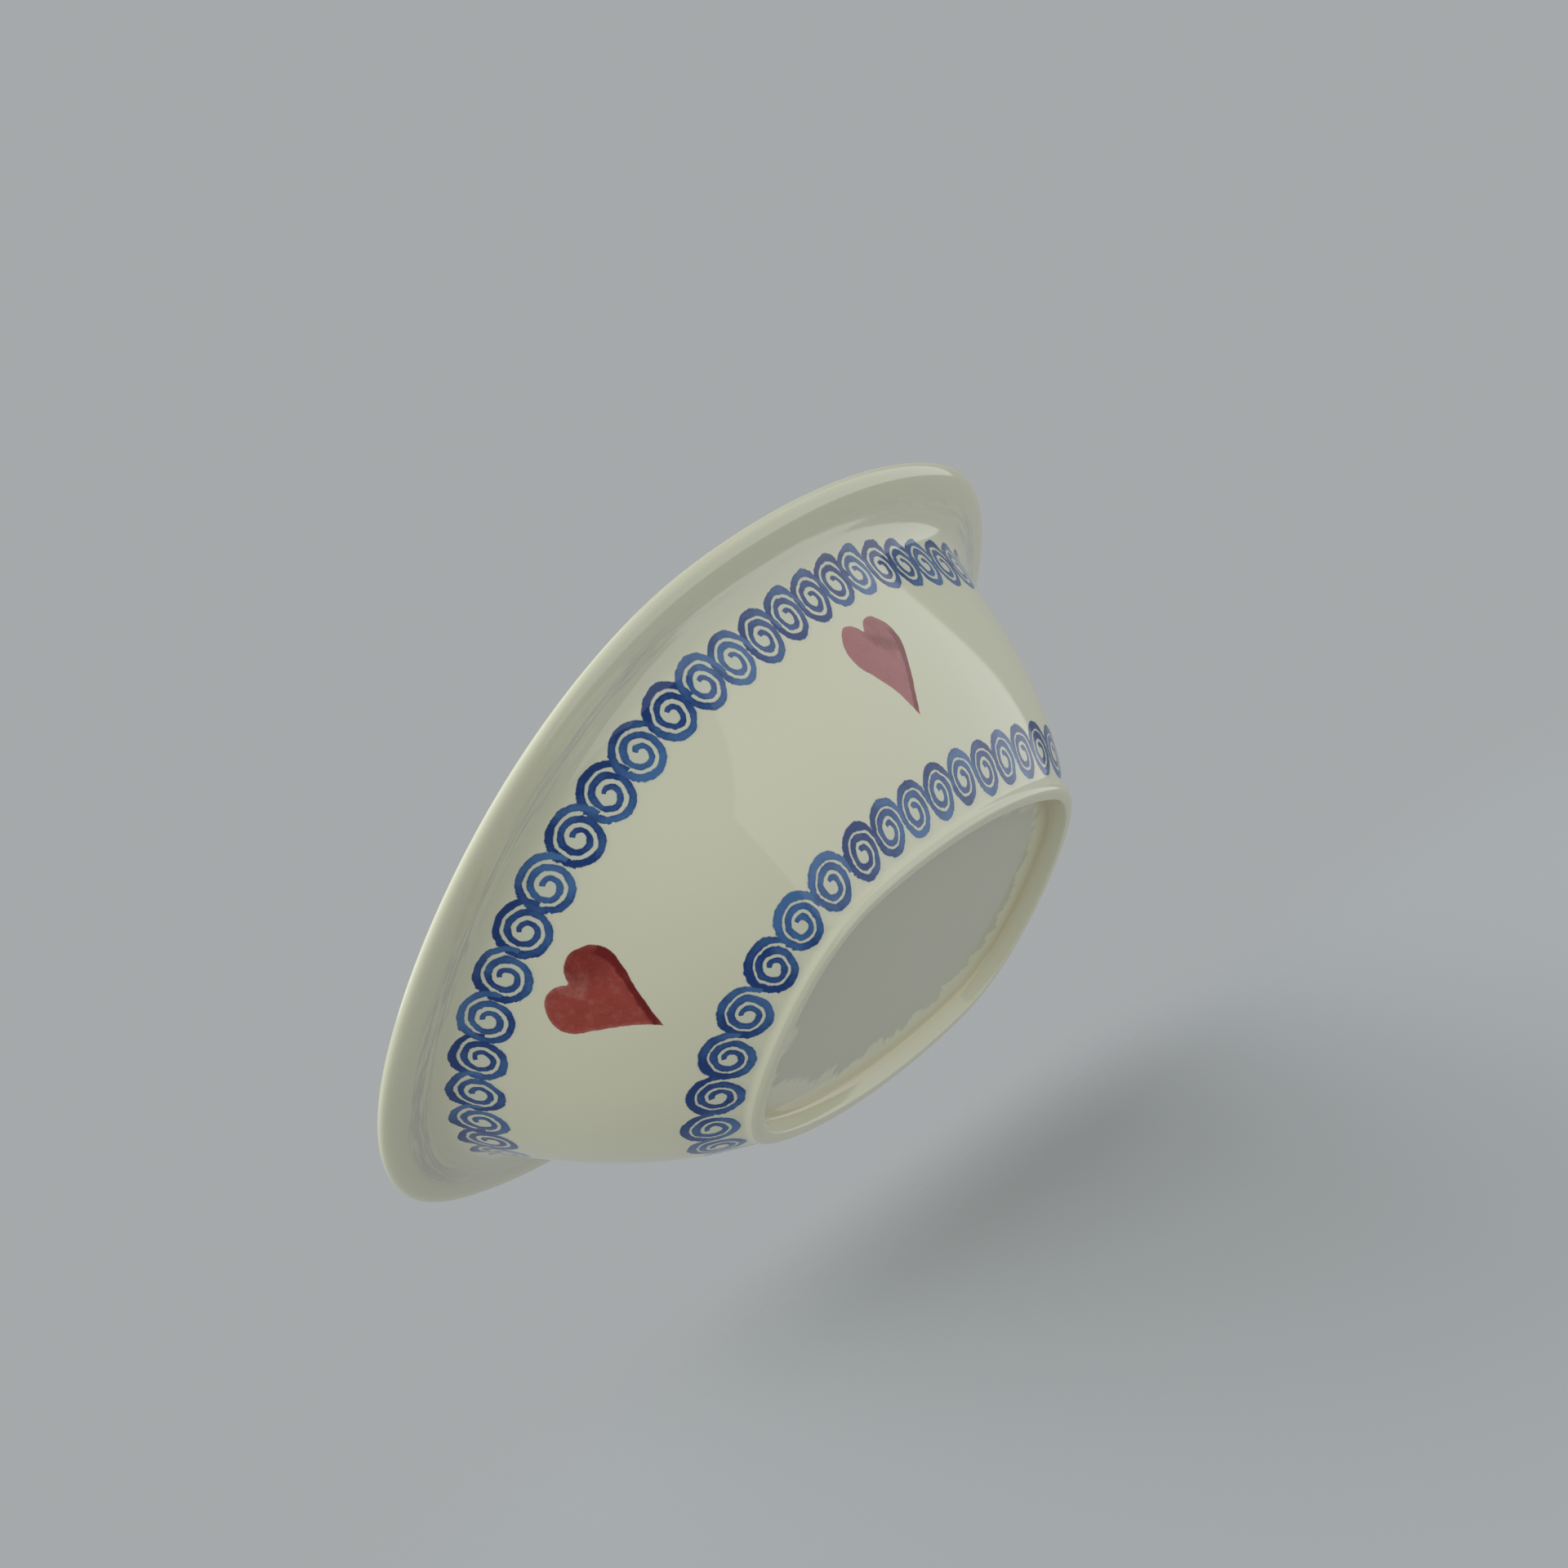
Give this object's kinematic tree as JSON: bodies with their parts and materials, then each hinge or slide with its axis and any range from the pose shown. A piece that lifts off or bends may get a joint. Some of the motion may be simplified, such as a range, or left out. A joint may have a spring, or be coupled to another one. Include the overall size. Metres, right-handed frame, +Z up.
{
  "type": "oval pie dish",
  "caption": "Oval glazed earthenware pie dish with a turned-out rim, flaring walls, a foot ring and painted scroll borders with hearts.",
  "frame": {"origin": "middle of the foot ring's underside, on the surface the dish stands on", "axes": "+Z up out of the dish's mouth, +X along its length, +Y across its width"},
  "size_m": [0.3, 0.227, 0.0787],
  "materials": {
    "cream_glaze": "cream clear-glazed earthenware, high gloss, soft ripple in the glaze",
    "blue_underglaze": "sponged cobalt blue under the glaze, uneven strength, high gloss",
    "red_underglaze": "brushed brick red under the glaze, darker along one side, high gloss"
  },
  "bodies": {
    "root": {"dish": "cream_glaze", "upper_scroll_border": "blue_underglaze", "lower_scroll_border": "blue_underglaze", "painted_hearts": "red_underglaze"}
  },
  "joints": []
}
